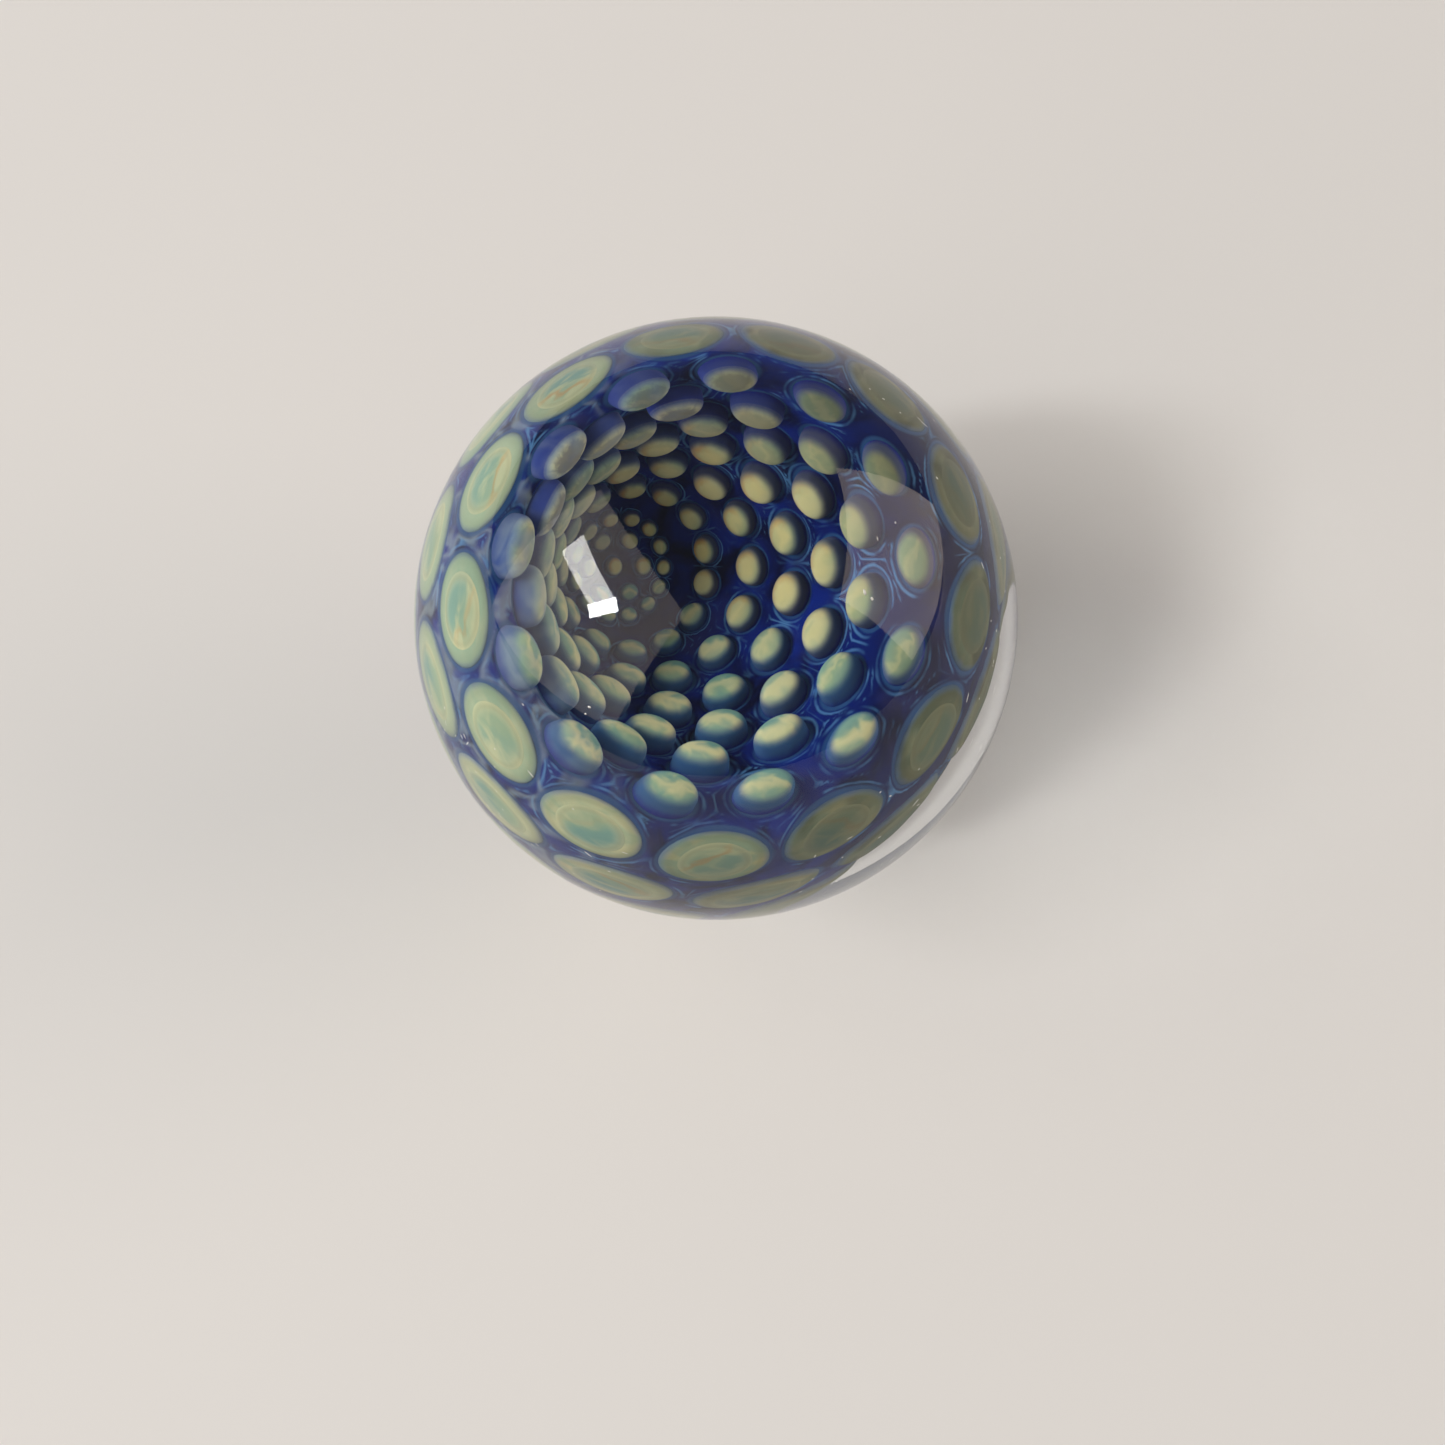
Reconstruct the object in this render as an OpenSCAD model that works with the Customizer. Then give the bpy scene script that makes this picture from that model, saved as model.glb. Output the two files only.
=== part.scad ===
// Clear glass marble with a cobalt cup inside, set with rows of opal dots.
//
// The marble is one ball of fused glass. Its clear casing holds a cobalt heart, which is
// hollowed into a deep cup, and rows of opal dots are set in the cobalt, staggered like
// honeycomb. They run from the back of the heart, over the lip and down to the cup's floor.
// The big dots outside the lip are stacked: each has a green core let into a cream dot.
// The origin is the marble's centre, +Z is up, and the cup opens up and toward -Y.

/* [Marble] */
// Diameter of the finished marble
marble_d = 38; // [30:0.5:60]
// Clear glass round the heart, if the heart sat dead centre
casing_wall = 4; // [3.4:0.1:5]
// How far the heart sits off the marble's centre
heart_shift = 3.55; // [0:0.05:3.55]
// Way that the heart sits off, seen into the cup, from its right side round to its top
heart_shift_dir = 145; // [0:1:359]

/* [Cup] */
// How far the cup's mouth leans from straight up toward -Y
cup_lean = 31; // [0:1:60]
// How far the cup's mouth turns from there toward +X
cup_turn = 19; // [-25:1:25]
// Radius of the rounded lip of the cup
lip_r = 3; // [2.4:0.1:3.6]
// Height of the lip's middle above the heart's equator, as an angle at the heart's centre
lip_lift = 12; // [5:1:20]
// Radius of the cup's rounded floor
floor_r = 4.8; // [4:0.1:5.8]
// Cobalt glass between the cup's floor and the back of the heart
floor_wall = 11.2; // [9:0.1:12]

/* [Dots] */
// Dots in each row
dots_per_row = 13; // [11:1:15]
// Width of the big dots round the outside, as a share of their spacing
shell_dot_fill = 0.9; // [0.7:0.01:0.9]
// Height of the big dots as a share of their width
shell_dot_squash = 0.66; // [0.6:0.01:0.7]
// How far the big dots stand out of the cobalt
shell_rise = 0.2; // [0.15:0.05:0.4]
// How deep the big dots behind the lip are sunk in the cobalt
shell_sink = 0.8; // [0.6:0.05:1.2]
// How deep the big dots of the rim are sunk in the lip
rim_sink = 1.2; // [1.1:0.05:1.5]
// Width of the green core of a big dot, as a share of the dot
core_share = 0.66; // [0.5:0.01:0.75]
// Depth of the green core of a big dot
core_depth = 0.4; // [0.3:0.05:0.6]
// Width of the dots on top of the lip, as a share of their spacing
lip_dot_fill = 0.64; // [0.5:0.01:0.66]
// Width of the dots at the cup's floor, as a share of their spacing
floor_dot_fill = 0.83; // [0.6:0.01:0.86]
// Width of the dots in the middle of the cup's floor
middle_dot_d = 0.85; // [0.5:0.05:0.9]
// Radius of the ring of dots round the middle dot of the cup's floor
middle_ring_r = 1.25; // [1.1:0.05:1.3]
// Height of the dots on top of the lip as a share of their width
lip_dot_squash = 0.64; // [0.58:0.01:0.66]
// Height of the dots at the cup's floor as a share of their width
floor_dot_squash = 0.88; // [0.8:0.01:0.92]
// How far the dots in the cup stand out of the cobalt, as a share of their radius
cup_rise = 0.9; // [0.7:0.05:1.2]
// How deep the dots in the cup are sunk in the cobalt, as a share of their radius
cup_sink = 0.5; // [0.4:0.05:0.8]
// Way of the first dot of the rim, as an angle round the cup
first_dot = -120; // [-180:1:180]
// How far the dots bunch toward the cup's right side, as an angle round the cup
bunching = 8; // [0:0.5:9]
// How far the rows drift round the cup by the time they reach its floor
floor_drift = 8; // [0:1:12]
// How uneven the hand-set dots are, as a share of their spacing
unevenness = 0.012; // [0:0.004:0.02]

/* [Hidden] */

$fn = 64;
// Finer rounding for the big forms, next to which the dots are thin.
fine = 180;

// Where the rows outside the lip lie, as shares of the way from the back pole to the lip's top.
shell_rows = [0.45, 0.6, 0.755, 0.913];
// Where the rows inside the lip lie, as shares of the way from the lip's top to the cup's floor.
cup_rows = [0.053, 0.2, 0.338, 0.472, 0.606, 0.738, 0.862];

// Curves that run into each other cross by this much, so that no two only graze.
crossing = 0.04;
// Least clear glass over the dots, wherever the heart sits.
least_cover = 0.25;

marble_r = marble_d / 2;
heart_r = marble_r - casing_wall;
shift = min(heart_shift, casing_wall - shell_rise - least_cover);

// Middle of the rounded lip and middle of the rounded floor, as [radius, height].
lip_c = (heart_r - lip_r) * [cos(lip_lift), sin(lip_lift)];
floor_c = [0, floor_wall + floor_r - heart_r];

// The straight wall runs between the two round ends. wall_lean is its angle from the axis.
span = lip_c - floor_c;
wall_lean = acos((lip_r + floor_r) / norm(span)) - atan2(span.y, span.x);
wall_out = [-cos(wall_lean), sin(wall_lean)];
wall_l = sqrt(norm(span) ^ 2 - (lip_r + floor_r) ^ 2);

// Length of each stretch of the heart's outline, from its back pole to the cup's floor.
back_l = heart_r * (lip_lift + 90) * PI / 180;
lip_l = lip_r * (180 - wall_lean - lip_lift) * PI / 180;
floor_l = floor_r * (90 - wall_lean) * PI / 180;
// Length from the back pole to the top of the lip, and from there to the cup's floor.
shell_l = back_l + lip_r * (90 - lip_lift) * PI / 180;
cup_l = back_l + lip_l + wall_l + floor_l - shell_l;

function polar(a) = [cos(a), sin(a)];

// Place on the heart's outline at a length from its back pole: [radius, height, way out].
function outline(s) =
    s < back_l ?
        let (a = -90 + s / heart_r * 180 / PI)
        concat(heart_r * polar(a), a)
    : s < back_l + lip_l ?
        let (a = lip_lift + (s - back_l) / lip_r * 180 / PI)
        concat(lip_c + lip_r * polar(a), a)
    : s < back_l + lip_l + wall_l ?
        let (p = lip_c + lip_r * wall_out - (s - back_l - lip_l) * polar(90 - wall_lean))
        concat(p, 180 - wall_lean)
    :
        let (a = -wall_lean - (s - back_l - lip_l - wall_l) / floor_r * 180 / PI)
        concat(floor_c + floor_r * polar(a), a + 180);

// Half section of the heart, with its skin moved out by grow.
module heart_section(grow) {
    far = 2 * marble_r;
    wall_top = lip_c + (lip_r + grow - crossing) * wall_out;
    wall_foot = floor_c - (floor_r - grow - crossing) * wall_out;
    difference() {
        union() {
            difference() {
                circle(heart_r + grow - crossing);
                polygon([
                    [0, floor_c.y], wall_foot, wall_top, lip_c, lip_c + far * polar(lip_lift),
                    [far, 2 * far], [-far, 2 * far], [-far, -far], [0, -far],
                ]);
            }
            translate(lip_c) circle(lip_r + grow);
        }
        translate(floor_c) circle(floor_r - grow);
    }
}

module heart_form(grow) rotate_extrude($fn = fine) heart_section(grow, $fn = fine);

// Sets the heart in the marble, where the marble's centre is the origin.
module set_in_marble()
    rotate([cup_lean, 0, 0])
    translate(shift * [cos(heart_shift_dir), sin(heart_shift_dir), 0])
    rotate([0, cup_turn, 0])
    children();

// Spread of a hand-set dot from its true place, between -1 and 1.
function stray(i, row) = sin(137.5 * i + 61 * row + 23 * i * row);

pitch = 360 / dots_per_row;
// Angle round the cup of dot i of a row. Rows are staggered by half a pitch, and drift and
// bunch as the glass was drawn in.
function around(i, row, drift) =
    let (
        even = first_dot + (i + (row % 2 == 0 ? 0 : 0.5) + unevenness * stray(i, row)) * pitch,
        turned = even - drift
    )
    turned - bunching * sin(turned);
// Distance between neighbours at that angle, at a radius from the heart's axis.
function spacing(radius, a) =
    2 * PI * radius / dots_per_row * (1 - bunching * PI / 180 * cos(a));

module stand_at(place, a)
    rotate([0, 0, a]) translate([place[0], 0, place[1]]) rotate([0, 90 - place[2], 0]) children();

// Outline of a dot: a circle of radius r, flattened by an arc on each side.
module oval(r, squash) {
    arc_r = 1.25 * r;
    intersection() {
        circle(r);
        translate([arc_r - squash * r, 0]) circle(arc_r);
        translate([squash * r - arc_r, 0]) circle(arc_r);
    }
}

// Row of oval posts that stand square on the cobalt, from bottom to top. Rows -3 to -1 lie
// behind the lip and row 0 over it. share shrinks the oval.
module posts(row, share, bottom, top) {
    place = outline(shell_l * shell_rows[3 + row]);
    for (i = [0:dots_per_row - 1]) {
        a = around(i, row, 0);
        stand_at(place, a)
            translate([0, 0, bottom])
            linear_extrude(top - bottom)
            oval(spacing(place[0], a) * shell_dot_fill * share / 2, shell_dot_squash);
    }
}

// How much deeper a core's foot lies than its edge, where the dot curves over the lip.
function core_sag(row) = row < 0 ? 0.15 : 0.5;
function sink_of(row) = row < 0 ? shell_sink : rim_sink;

// Row of big dots or of their cores: posts whose tops follow the heart.
module shell_row(row, share, bottom) {
    intersection() {
        if (row < 0) sphere(heart_r + shell_rise, $fn = fine);
        else heart_form(shell_rise);
        posts(row, share, bottom, 2);
    }
}

// Dot of the cup: a peg with a domed top, standing square on the cobalt.
module cup_dot(r, squash) {
    dome_r = 1.08 * r;
    sink = cup_sink * r;
    rise = cup_rise * r;
    translate([0, 0, -sink]) intersection() {
        linear_extrude(sink + rise + 1) oval(r, squash);
        translate([0, 0, sink + rise - dome_r]) sphere(dome_r);
    }
}

module cup_row(row) {
    share = cup_rows[row - 1];
    place = outline(shell_l + cup_l * share);
    down = min(1, 1.5 * share);
    fill = lip_dot_fill + (floor_dot_fill - lip_dot_fill) * down;
    squash = lip_dot_squash + (floor_dot_squash - lip_dot_squash) * down;
    for (i = [0:dots_per_row - 1]) {
        a = around(i, row, floor_drift * share ^ 2);
        stand_at(place, a) cup_dot(spacing(place[0], a) * fill / 2, squash);
    }
    if (row == len(cup_rows)) floor_middle();
}

// Middle of the cup's floor: a dot and a ring of half as many dots as a row has.
module floor_middle() {
    count = floor(dots_per_row / 2);
    stand_at(outline(shell_l + cup_l), 0) cup_dot(middle_dot_d / 2, floor_dot_squash);
    for (i = [0:count - 1])
        stand_at(outline(shell_l + cup_l - middle_ring_r), first_dot + i * 360 / count)
            cup_dot(middle_dot_d / 2, floor_dot_squash);
}

module big_dots(row) color("#cdd2a8") set_in_marble() difference() {
    shell_row(row, 1, -sink_of(row));
    posts(row, core_share, shell_rise - core_depth - core_sag(row), 3);
}

module big_cores(row) color("#6f9f8c") set_in_marble()
    shell_row(row, core_share, shell_rise - core_depth - core_sag(row));

module small_dots(row) color("#c9d3a0") set_in_marble() cup_row(row);

module cobalt_heart() color("#14206e") set_in_marble() difference() {
    heart_form(0);
    for (row = [-3:0]) posts(row, 1, -sink_of(row), 2);
    for (row = [1:7]) cup_row(row);
}

module clear_casing() color("#e8f2f2", 0.25) difference() {
    sphere(marble_r, $fn = fine);
    set_in_marble() heart_form(0);
    for (row = [-3:0]) set_in_marble() shell_row(row, 1, -sink_of(row));
    for (row = [1:7]) set_in_marble() cup_row(row);
}

clear_casing();
cobalt_heart();
big_dots(-3);  // back_dots_1
big_cores(-3);  // back_cores_1
big_dots(-2);  // back_dots_2
big_cores(-2);  // back_cores_2
big_dots(-1);  // back_dots_3
big_cores(-1);  // back_cores_3
big_dots(0);  // rim_dots
big_cores(0);  // rim_cores
small_dots(1);  // lip_dots
small_dots(2);  // cup_dots_1
small_dots(3);  // cup_dots_2
small_dots(4);  // cup_dots_3
small_dots(5);  // cup_dots_4
small_dots(6);  // cup_dots_5
small_dots(7);  // floor_dots
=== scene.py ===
"""Looks of a clear glass marble with a cobalt cup and rows of opal dots fused inside.

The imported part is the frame. The clear casing, the cobalt heart and every row of dots get a
finer visual piece in the same place, measured from the part's own solids.
"""

import math
import random

import bmesh
import bpy
import numpy as np
from mathutils import Matrix, Quaternion, Vector


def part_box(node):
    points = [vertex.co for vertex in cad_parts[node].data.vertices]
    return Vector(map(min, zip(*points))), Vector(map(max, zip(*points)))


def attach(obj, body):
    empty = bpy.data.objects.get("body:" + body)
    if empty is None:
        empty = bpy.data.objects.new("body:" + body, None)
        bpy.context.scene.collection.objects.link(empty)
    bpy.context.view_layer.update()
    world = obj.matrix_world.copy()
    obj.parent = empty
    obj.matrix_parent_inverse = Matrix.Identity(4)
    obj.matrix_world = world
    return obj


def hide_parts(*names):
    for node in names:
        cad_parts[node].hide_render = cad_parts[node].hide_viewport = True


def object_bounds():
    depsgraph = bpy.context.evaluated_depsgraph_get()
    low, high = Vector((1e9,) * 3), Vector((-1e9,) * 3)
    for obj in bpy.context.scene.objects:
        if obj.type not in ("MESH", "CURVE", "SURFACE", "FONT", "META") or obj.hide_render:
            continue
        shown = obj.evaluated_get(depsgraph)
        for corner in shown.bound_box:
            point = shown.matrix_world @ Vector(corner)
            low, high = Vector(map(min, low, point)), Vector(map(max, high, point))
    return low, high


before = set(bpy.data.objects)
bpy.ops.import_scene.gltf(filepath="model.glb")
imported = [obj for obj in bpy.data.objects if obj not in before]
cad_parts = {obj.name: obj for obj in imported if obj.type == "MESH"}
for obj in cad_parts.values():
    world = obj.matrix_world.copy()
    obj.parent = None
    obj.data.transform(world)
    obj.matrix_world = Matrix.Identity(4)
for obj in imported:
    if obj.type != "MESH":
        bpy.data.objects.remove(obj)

bl_info = {
    "name": "Honeycomb marble",
    "version": (1, 0, 0),
    "blender": (4, 5, 0),
    "location": "3D View > Sidebar > Marble",
    "description": "Models a glass marble with a cobalt cup and rows of opal dots",
    "category": "Object",
}

CAD_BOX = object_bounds()
BODY = "root"
MM = 0.001

SMALL_ROWS = [
    "lip_dots", "cup_dots_1", "cup_dots_2", "cup_dots_3", "cup_dots_4", "cup_dots_5", "floor_dots",
]
BIG_ROWS = ["back_dots_1", "back_dots_2", "back_dots_3", "rim_dots"]
CORE_ROWS = ["back_cores_1", "back_cores_2", "back_cores_3", "rim_cores"]

# Profiles of the dots, from the foot up over the middle: (share of the radius, height).
# A small dot's profile is stretched to the dot's own height. The others' heights are millimetres.
SMALL_DOT = [
    (0.96, -0.5), (1.0, -0.2), (1.02, 0.0), (1.0, 0.2), (0.985, 0.4), (0.94, 0.58),
    (0.84, 0.73), (0.66, 0.84), (0.42, 0.9), (0.18, 0.92),
]
BIG_DOT = [
    (0.93, -0.8), (0.99, -0.3), (1.0, -0.1), (0.985, 0.02), (0.95, 0.1), (0.88, 0.16),
    (0.79, 0.185), (0.71, 0.19), (0.63, 0.18), (0.4, 0.16), (0.15, 0.15),
]
BIG_CORE = [
    (0.6, 0.0), (0.66, 0.1), (0.68, 0.17), (0.65, 0.2), (0.55, 0.215), (0.35, 0.225), (0.15, 0.23),
]
# Sides of the circle that a dot is drawn up from.
SMALL_SIDES = 14
BIG_SIDES = 28
# Most that a small dot leans, as a share of its height.
LEAN = 0.06

# Pits in the ball's skin, each drawn as a white sliver that is a painted glint, as seen from the front:
# (way round the view, angle toward the eye, half length, half width), in degrees and millimetres.
PITS = [
    (9.9, 61.7, 0.22, 0.11), (7.1, 60.4, 0.14, 0.1), (32.3, 32.9, 0.12, 0.07),
    (-45.6, 37.3, 0.1, 0.07), (-65.5, 19.8, 0.12, 0.05), (-145.2, 61.0, 0.13, 0.08),
    (-144.0, 59.5, 0.08, 0.06), (28.0, 50.0, 0.08, 0.05),
]
# Where lint clings to the limb: (from, to, how many), round the view in degrees.
LINT = [(195, 250, 46), (-75, 65, 60)]
# Half thickness of a sliver, and how deep its middle sits in the skin, in millimetres.
FLECK_THICKNESS = 0.012
FLECK_SINK = 0.03
# How far light spreads inside the opal, in metres.
OPAL_REACH = 0.0007

# Seeds of the small dots, of the big dots and of the lint.
SMALL_SEED = 7
BIG_SEED = 11
LINT_SEED = 5

# Corners nearer than this, in metres, are one corner.
MERGE = 1e-6
# A loose shell with no more faces than this is a sliver of the mesh, and not a solid.
SLIVER_FACES = 20
# Normals that round alike at this many steps to 1 face the same way.
NORMAL_STEPS = 500
# Samples of the heart's outline, and how many corners are compared with them at a time.
OUTLINE_SAMPLES = 1200
BATCH = 4000
# Places farther from a dot than this many of its radii count as far from it.
FAR = 4.0

# The camera's lens and sensor, in millimetres.
CAMERA_LENS = 118.6
SENSOR_WIDTH = 36
# The camera aims this far below the marble's centre in the picture, and to its right, in metres.
AIM_BELOW = 0.00655
AIM_RIGHT = 0.0004


# ---------------------------------------------------------------- sizes and colours


class MarbleSizes(bpy.types.PropertyGroup):
    """Sizes of the heart's outline, and how finely and how evenly things are made."""

    lip_radius: bpy.props.FloatProperty(
        name="Lip radius", description="Radius of the rounded lip of the cup, in millimetres", default=3.0)
    lip_lift: bpy.props.FloatProperty(
        name="Lip lift", description="Angle of the lip's middle above the heart's equator",
        subtype="ANGLE", default=math.radians(12))
    floor_radius: bpy.props.FloatProperty(
        name="Floor radius", description="Radius of the cup's rounded floor, in millimetres", default=4.8)
    floor_wall: bpy.props.FloatProperty(
        name="Floor wall", description="Cobalt between the cup's floor and the back, in millimetres",
        default=11.2)
    steps_along: bpy.props.IntProperty(
        name="Steps along", description="Steps of the ground from its back to the cup's floor", default=280)
    steps_around: bpy.props.IntProperty(
        name="Steps around", description="Steps of the ground round its axis", default=288)
    wobble: bpy.props.FloatProperty(
        name="Wobble", description="How uneven a hand-set dot's outline is, as a share of its radius",
        default=0.05)
    ball_waves: bpy.props.FloatProperty(
        name="Ball waves", description="Depth of the faint waves in the ball's skin, in millimetres",
        default=0.02)


class MarbleColours(bpy.types.PropertyGroup):
    """Colours of the glasses."""

    cream: bpy.props.FloatVectorProperty(
        name="Cream", description="Cream opal", subtype="COLOR", default=(0.58, 0.58, 0.34))
    pale_green: bpy.props.FloatVectorProperty(
        name="Pale green", description="Pale green opal", subtype="COLOR", default=(0.29, 0.41, 0.27))
    aqua: bpy.props.FloatVectorProperty(
        name="Aqua", description="Aqua opal", subtype="COLOR", default=(0.15, 0.32, 0.29))
    warm: bpy.props.FloatVectorProperty(
        name="Warm cream", description="Yellow cream of the dots high in the cup", subtype="COLOR",
        default=(0.68, 0.58, 0.24))
    brown: bpy.props.FloatVectorProperty(
        name="Brown", description="Orange-brown streak", subtype="COLOR", default=(0.5, 0.23, 0.05))
    # Olive is painted shade on the small dots toward the right side; in the big dots and cores it is an
    # olive band.
    olive: bpy.props.FloatVectorProperty(
        name="Olive", description="Olive grey of the dots toward the right side", subtype="COLOR",
        default=(0.1, 0.105, 0.055))
    # Painted reflection: light blue smears mixed with the haze on the small dots of the left side.
    smear: bpy.props.FloatVectorProperty(
        name="Smear", description="Light blue smears in the dots on the left side", subtype="COLOR",
        default=(0.06, 0.12, 0.29))
    # Painted shade: dark olive laid over the big dots and their cores toward the marble's right side.
    shade_olive: bpy.props.FloatVectorProperty(
        name="Dusk", description="Dark olive of the big dots toward the right side", subtype="COLOR",
        default=(0.035, 0.042, 0.018))
    side: bpy.props.FloatVectorProperty(
        name="Side", description="Mauve skirt of a dot, seen through its cobalt skin", subtype="COLOR",
        default=(0.07, 0.07, 0.12))
    skirt: bpy.props.FloatVectorProperty(
        name="Skirt", description="Dim teal round the foot of a dot", subtype="COLOR",
        default=(0.025, 0.085, 0.22))
    foot: bpy.props.FloatVectorProperty(
        name="Foot", description="Blue foot of a dot", subtype="COLOR", default=(0.01, 0.02, 0.2))
    cobalt: bpy.props.FloatVectorProperty(
        name="Cobalt", description="Bright cobalt ground", subtype="COLOR", default=(0.003, 0.018, 0.2))
    # Navy: the ground's dark tone at random, and painted shade deep in the cup and toward the marble's
    # right side.
    navy: bpy.props.FloatVectorProperty(
        name="Navy", description="Dark ground where the glass is thick", subtype="COLOR",
        default=(0.001, 0.003, 0.03))
    # Painted reflection: pale haze on the left side, over the small dots and in veins of the ground.
    haze: bpy.props.FloatVectorProperty(
        name="Haze", description="Pale grey-blue haze over the dots on the left side", subtype="COLOR",
        default=(0.26, 0.34, 0.38))
    smoke: bpy.props.FloatVectorProperty(
        name="Smoke", description="Violet haze in the ground", subtype="COLOR", default=(0.03, 0.03, 0.1))
    cell: bpy.props.FloatVectorProperty(
        name="Cell line", description="Light blue line where the dots' cells meet", subtype="COLOR",
        default=(0.09, 0.26, 0.52))


class MarbleStage(bpy.types.PropertyGroup):
    """Floor, lamps and camera."""

    floor_colour: bpy.props.FloatVectorProperty(
        name="Floor", description="Colour of the floor", subtype="COLOR", default=(0.82, 0.81, 0.79))
    world_light: bpy.props.FloatProperty(
        name="World light", description="Brightness of the even light all round", default=0.2)
    room_light: bpy.props.FloatProperty(
        name="Room light", description="Brightness of the two wide dim panels", default=1.25)
    window_light: bpy.props.FloatProperty(
        name="Window light", description="Brightness of the soft window", default=12.0)
    camera_distance: bpy.props.FloatProperty(
        name="Camera distance", description="From the marble's centre", subtype="DISTANCE", default=0.3)
    camera_height: bpy.props.FloatProperty(
        name="Camera elevation", description="Angle of the view above the floor", subtype="ANGLE",
        default=math.radians(60))


# ---------------------------------------------------------------- measuring the part


def loose_solids(node):
    """Each loose solid of a CAD node: its faces, as (centre, normal, area), and its corners."""
    bm = bmesh.new()
    bm.from_mesh(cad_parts[node].data)
    bmesh.ops.remove_doubles(bm, verts=bm.verts, dist=MERGE)
    waiting = set(bm.faces)
    solids = []
    while waiting:
        front = [waiting.pop()]
        faces = []
        while front:
            face = front.pop()
            faces.append(face)
            for edge in face.edges:
                for near in edge.link_faces:
                    if near in waiting:
                        waiting.remove(near)
                        front.append(near)
        sides = [(f.calc_center_median(), f.normal.copy(), f.calc_area()) for f in faces]
        corners = np.array([v.co for f in faces for v in f.verts])
        solids.append((sides, corners))
    bm.free()
    return [s for s in solids if len(s[0]) > SLIVER_FACES]


def flat_foot(sides):
    """Centre and outward direction of a dot, from its flat foot, which is its largest plane."""
    planes = {}
    for centre, normal, area in sides:
        key = tuple(round(c * NORMAL_STEPS) for c in normal)
        planes.setdefault(key, []).append((centre, normal, area))
    foot = max(planes.values(), key=lambda faces: sum(f[2] for f in faces))
    whole = sum(f[2] for f in foot)
    centre = sum((f[0] * f[2] for f in foot), Vector()) / whole
    normal = sum((f[1] * f[2] for f in foot), Vector()).normalized()
    return centre, -normal


def ring_plane(points):
    """Unit normal of the plane through a ring of points, and the centre of the ring."""
    p = np.array(points)
    middle = p.mean(0)
    normal = np.linalg.svd(p - middle)[2][2]
    u = np.cross(normal, [0.3, 0.5, 0.8])
    u /= np.linalg.norm(u)
    v = np.cross(normal, u)
    x = (p - middle) @ u
    y = (p - middle) @ v
    a, b, _ = np.linalg.lstsq(np.c_[2 * x, 2 * y, np.ones(len(p))], x * x + y * y, rcond=None)[0]
    return Vector(normal), Vector(middle + a * u + b * v)


class Heart:
    """The heart's own frame and outline, measured from the part."""

    def __init__(self, sizes):
        rows = ("lip_dots", "cup_dots_5", "back_dots_3")
        feet = {n: [flat_foot(s) for s, _ in loose_solids(n)] for n in rows}
        rings = {n: ring_plane([centre for centre, _ in feet[n]]) for n in feet}
        axis = (rings["lip_dots"][1] - rings["cup_dots_5"][1]).normalized()
        # A dot behind the lip stands on the round back, so its own line meets the axis at the centre.
        heights = []
        for centre, out in feet["back_dots_3"]:
            arm = centre - rings["lip_dots"][1]
            up = arm.dot(axis)
            side = arm - up * axis
            heights.append(up - side.length * out.dot(axis) / out.dot(side.normalized()))
        self.centre = rings["lip_dots"][1] + axis * (sum(heights) / len(heights))
        self.axis = axis
        self.radius = self.centre.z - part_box("cobalt_heart")[0].z
        right = Vector((1, 0, 0))
        right = (right - right.dot(axis) * axis).normalized()
        self.matrix = Matrix((right, axis.cross(right), axis)).transposed().to_4x4()
        self.matrix.translation = self.centre
        self.lip_r = sizes.lip_radius * MM
        self.lip_lift = sizes.lip_lift
        self.floor_r = sizes.floor_radius * MM
        reach = self.radius - self.lip_r
        self.lip_c = Vector((reach * math.cos(self.lip_lift), reach * math.sin(self.lip_lift)))
        self.floor_c = Vector((0, sizes.floor_wall * MM + self.floor_r - self.radius))
        span = self.lip_c - self.floor_c
        ends = self.lip_r + self.floor_r
        self.wall_lean = math.acos(ends / span.length) - math.atan2(span.y, span.x)
        self.back_l = self.radius * (self.lip_lift + math.pi / 2)
        self.lip_l = self.lip_r * (math.pi - self.wall_lean - self.lip_lift)
        self.wall_l = math.sqrt(span.length_squared - ends * ends)
        self.floor_l = self.floor_r * (math.pi / 2 - self.wall_lean)
        self.length = self.back_l + self.lip_l + self.wall_l + self.floor_l
        self.lip_top = self.back_l + self.lip_r * (math.pi / 2 - self.lip_lift)
        steps = range(OUTLINE_SAMPLES + 1)
        samples = [self.outline(self.length * i / OUTLINE_SAMPLES) for i in steps]
        self.samples = np.array([(p.x, p.y) for p, _ in samples])

    def outline(self, s):
        """Point on the outline, as (radius, height), and the way out, at a length from the back pole."""
        s = float(s)
        if s < self.back_l:
            a = -math.pi / 2 + s / self.radius
            return self.radius * Vector((math.cos(a), math.sin(a))), a
        s -= self.back_l
        if s < self.lip_l:
            a = self.lip_lift + s / self.lip_r
            return self.lip_c + self.lip_r * Vector((math.cos(a), math.sin(a))), a
        s -= self.lip_l
        out = math.pi - self.wall_lean
        if s < self.wall_l:
            start = self.lip_c + self.lip_r * Vector((math.cos(out), math.sin(out)))
            return start - s * Vector((math.sin(self.wall_lean), math.cos(self.wall_lean))), out
        s -= self.wall_l
        a = -self.wall_lean - s / self.floor_r
        return self.floor_c + self.floor_r * Vector((math.cos(a), math.sin(a))), a + math.pi

    def along(self, flat):
        """Length along the outline nearest to each (radius, height) of an array."""
        found = np.empty(len(flat))
        for start in range(0, len(flat), BATCH):
            part = flat[start:start + BATCH]
            gaps = ((part[:, None, :] - self.samples[None, :, :]) ** 2).sum(2)
            found[start:start + BATCH] = gaps.argmin(1)
        return found * self.length / OUTLINE_SAMPLES


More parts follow.
